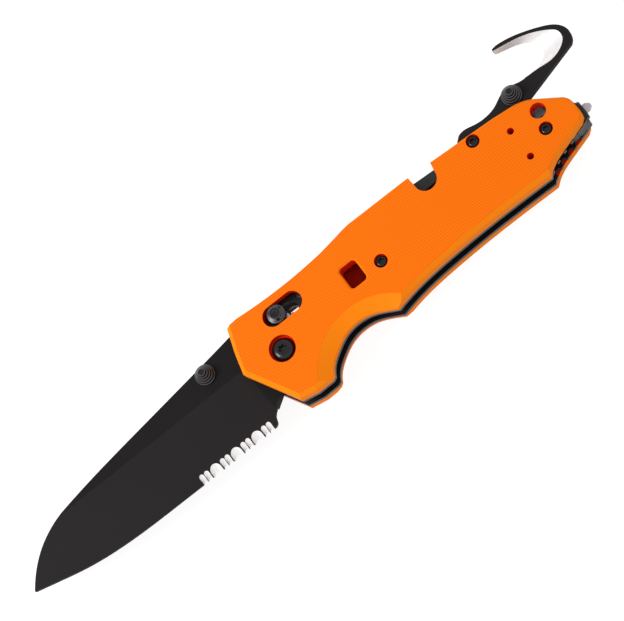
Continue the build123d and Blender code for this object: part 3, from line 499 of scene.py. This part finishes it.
hook_finish = coated_steel("hook_finish", COATED_GRIND, bare_on_hook, HOOK_STROKE)
dress(hook_finish, "hook")
print("coated steels:", blade_finish.name, hook_finish.name)

# %% [markdown]
# ## Turned and rolled metals
#
# The rest is plain metal: dark liners whose upright edges are painted lighter as a highlight,
# turned studs whose bevels are painted lighter as a highlight, glossy black screws with slopes
# painted a little lighter as a highlight, bronze washers and a grey carbide point. They differ only
# in colour, gloss and how light their slopes are, so one function makes them all.

# %% Plain metal
DARK_CLOUD_SHARE = 0.78
GLOSS_SWING = 0.14


def plain_metal(name, colour, roughness, metallic=1.0, slopes=None, slope_from=0.2, slope_to=0.97):
    """Metal with gentle unevenness; its slanted faces take the colour given as slopes, a painted
    highlight.
    """
    material, tree, shader = new_material(name, roughness=roughness, metallic=metallic)
    uneven = place_group(tree, unevenness)
    darker = tuple(DARK_CLOUD_SHARE * channel for channel in colour)
    tone = mix_colours(tree, uneven.outputs["Cloud"], colour, darker)
    # painted highlight: the slanted faces get the lighter colour given as slopes
    if slopes:
        tone = mix_colours(tree, slant_mask(tree, slope_from, slope_to), tone, slopes)
    tree.links.new(tone, shader.inputs["Base Color"])
    smoothest = roughness - GLOSS_SWING / 2
    rough = math_node(tree, "MULTIPLY_ADD", uneven.outputs["Cloud"], GLOSS_SWING, smoothest)
    tree.links.new(rough, shader.inputs["Roughness"])
    add_bump(tree, shader, uneven.outputs["Grain"], strength=0.15, distance=0.02 * MM)
    return material


# %% Metals of this knife
# painted highlight: the upright edges of the liners get a lighter colour
dark_liner = plain_metal("dark_liner", srgb(30, 27, 29), 0.45, metallic=0.5, slopes=srgb(48, 43, 46),
                         slope_from=NO_LOWER_LIMIT, slope_to=WALL_TO)
black_spacer = plain_metal("black_spacer", srgb(16, 14, 16), 0.5, metallic=0.1)
# painted highlight: the slanted bevels of the studs and knobs get a lighter colour
gunmetal = plain_metal("gunmetal", srgb(25, 23, 24), 0.34, metallic=0.6, slopes=srgb(76, 72, 75))
# painted highlight: the slanted faces of the screws, clip and collar get a slightly lighter colour
black_oxide = plain_metal("black_oxide", srgb(16, 14, 15), 0.2, metallic=0.4, slopes=srgb(26, 23, 24))
ground_steel = plain_metal("ground_steel", srgb(120, 118, 122), 0.3)
dark_wire = plain_metal("dark_wire", srgb(52, 50, 52), 0.35)
bronze = plain_metal("bronze", srgb(169, 119, 59), 0.35)
carbide = plain_metal("carbide", srgb(190, 178, 184), 0.3, metallic=0.6)
print("materials so far:", [material.name for material in bpy.data.materials])

# %% Dress the metal pieces
dress(dark_liner, "front_liner", "rear_liner")
dress(black_spacer, "butt_spacer", "spine_spacer")
dress(gunmetal, "blade_stud_front", "blade_stud_rear", "hook_stud", "lock_knob_front", "lock_knob_rear")
dress(black_oxide, "pivot_screw_front", "pivot_screw_rear", "front_scale_screws", "rear_scale_screws",
      "hook_pivot_screw", "clip_screws", "pocket_clip", "breaker_collar")
dress(ground_steel, "pivot_pin", "stop_pins", "lock_bar", "hook_post", "hook_detent_ball", "spine_pin")
dress(dark_wire, "lock_spring_front", "lock_spring_rear")
dress(bronze, "washer_front", "washer_rear", "hook_washer")
dress(carbide, "breaker_tip")
print("pieces without a finish:", [name for name, piece in nodes.items() if not piece.data.materials])

# %% [markdown]
# ## Floor
#
# The knife lies over a white floor. The floor has to be white to the eye without more light on
# the knife, so what the camera and mirrors see of it is mostly its own glow, and only the small
# rest is lit: a faint shadow stays. More lamps would make it white too, but they would bleach
# the knife.

# %% Mask of rays that look straight at a surface
def seen_directly(tree):
    """1 for rays from the camera, a mirror or clear glass, 0 for the rays that carry light."""
    rays = add_node(tree, "ShaderNodeLightPath").outputs
    mirrored = math_node(tree, "MAXIMUM", rays["Is Glossy Ray"], rays["Is Transmission Ray"])
    return math_node(tree, "MAXIMUM", rays["Is Camera Ray"], mirrored)


# %% Floor plane
FLOOR_SIZE = 3.0
FLOOR_GAP = 0.05 * MM
FLOOR_GLOW = 0.9
FLOOR_BOUNCE = srgb(235, 235, 235)
FLOOR_SEEN = srgb(130, 130, 130)
bpy.ops.object.select_all(action="DESELECT")
bpy.ops.mesh.primitive_plane_add(size=FLOOR_SIZE, location=(0, 0, cad_box[0][2] - FLOOR_GAP))
floor = bpy.context.object
floor.name = "floor"
floor_paint, tree, shader = new_material("floor_paint", roughness=1.0, Specular_IOR_Level=0.0)
direct = seen_directly(tree)
tree.links.new(mix_colours(tree, direct, FLOOR_BOUNCE, FLOOR_SEEN), shader.inputs["Base Color"])
shader.inputs["Emission Color"].default_value = (1.0, 1.0, 1.0, 1.0)
tree.links.new(math_node(tree, "MULTIPLY", direct, FLOOR_GLOW), shader.inputs["Emission Strength"])
floor.data.materials.append(floor_paint)
print("floor", FLOOR_SIZE, "m wide, glow", FLOOR_GLOW)

# %% [markdown]
# ## Light
#
# The knife lies in open, even light from a white world, with one soft lamp from beyond the tip.
# The two together add up to a plain level. As with the floor, what is seen of the world is full
# white, and what lights the knife is less.

# %% World
SKY_LIGHT = 0.66
world = bpy.data.worlds.new("studio")
bpy.context.scene.world = world
world.use_nodes = True
sky = world.node_tree
background = sky.nodes["Background"]
background.inputs["Color"].default_value = (1.0, 1.0, 1.0, 1.0)
brighter = math_node(sky, "MULTIPLY_ADD", seen_directly(sky), 1.0 - SKY_LIGHT, SKY_LIGHT)
sky.links.new(brighter, background.inputs["Strength"])
print("sky level", SKY_LIGHT)

# %% Lamp
LAMP_PLACE = (-0.55, 0.12, 0.6)
LAMP_SIZE = 0.35
LAMP_POWER = 4.4
bpy.ops.object.select_all(action="DESELECT")
bpy.ops.object.light_add(type="AREA", location=LAMP_PLACE)
key_lamp = bpy.context.object
key_lamp.name = "key_lamp"
key_lamp.data.shape = "SQUARE"
key_lamp.data.size = LAMP_SIZE
key_lamp.data.energy = LAMP_POWER
key_lamp.rotation_euler = (-key_lamp.location).to_track_quat("-Z", "Y").to_euler()
print("lamp", LAMP_POWER, "W at", LAMP_PLACE)

# %% [markdown]
# ## Camera
#
# A long lens from well above keeps the knife's proportions. It stands on the side of the cutting
# edge, so that the edges of both liners show, and is turned so that the handle runs up to the
# right.

# %% Camera
CAMERA_LENS = 173.1
SENSOR_WIDTH = 36.0
CAMERA_NEAR = 0.01
CAMERA_FROM_PIVOT = (0.0745, -0.3026, 0.8113)
CAMERA_TURN = (14.4, 16.0, -35.72)
rear_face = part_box("rear_scale")[0].z
camera_place = Vector((pivot.x, pivot.y, rear_face)) + Vector(CAMERA_FROM_PIVOT)
bpy.ops.object.camera_add(
    location=camera_place, rotation=[math.radians(angle) for angle in CAMERA_TURN]
)
camera = bpy.context.object
camera.data.sensor_width = SENSOR_WIDTH
camera.data.lens = CAMERA_LENS
camera.data.clip_start = CAMERA_NEAR
bpy.context.scene.camera = camera
bpy.context.scene.view_settings.view_transform = "Standard"
print("camera at", [round(value, 3) for value in camera_place], "with a", CAMERA_LENS, "mm lens")
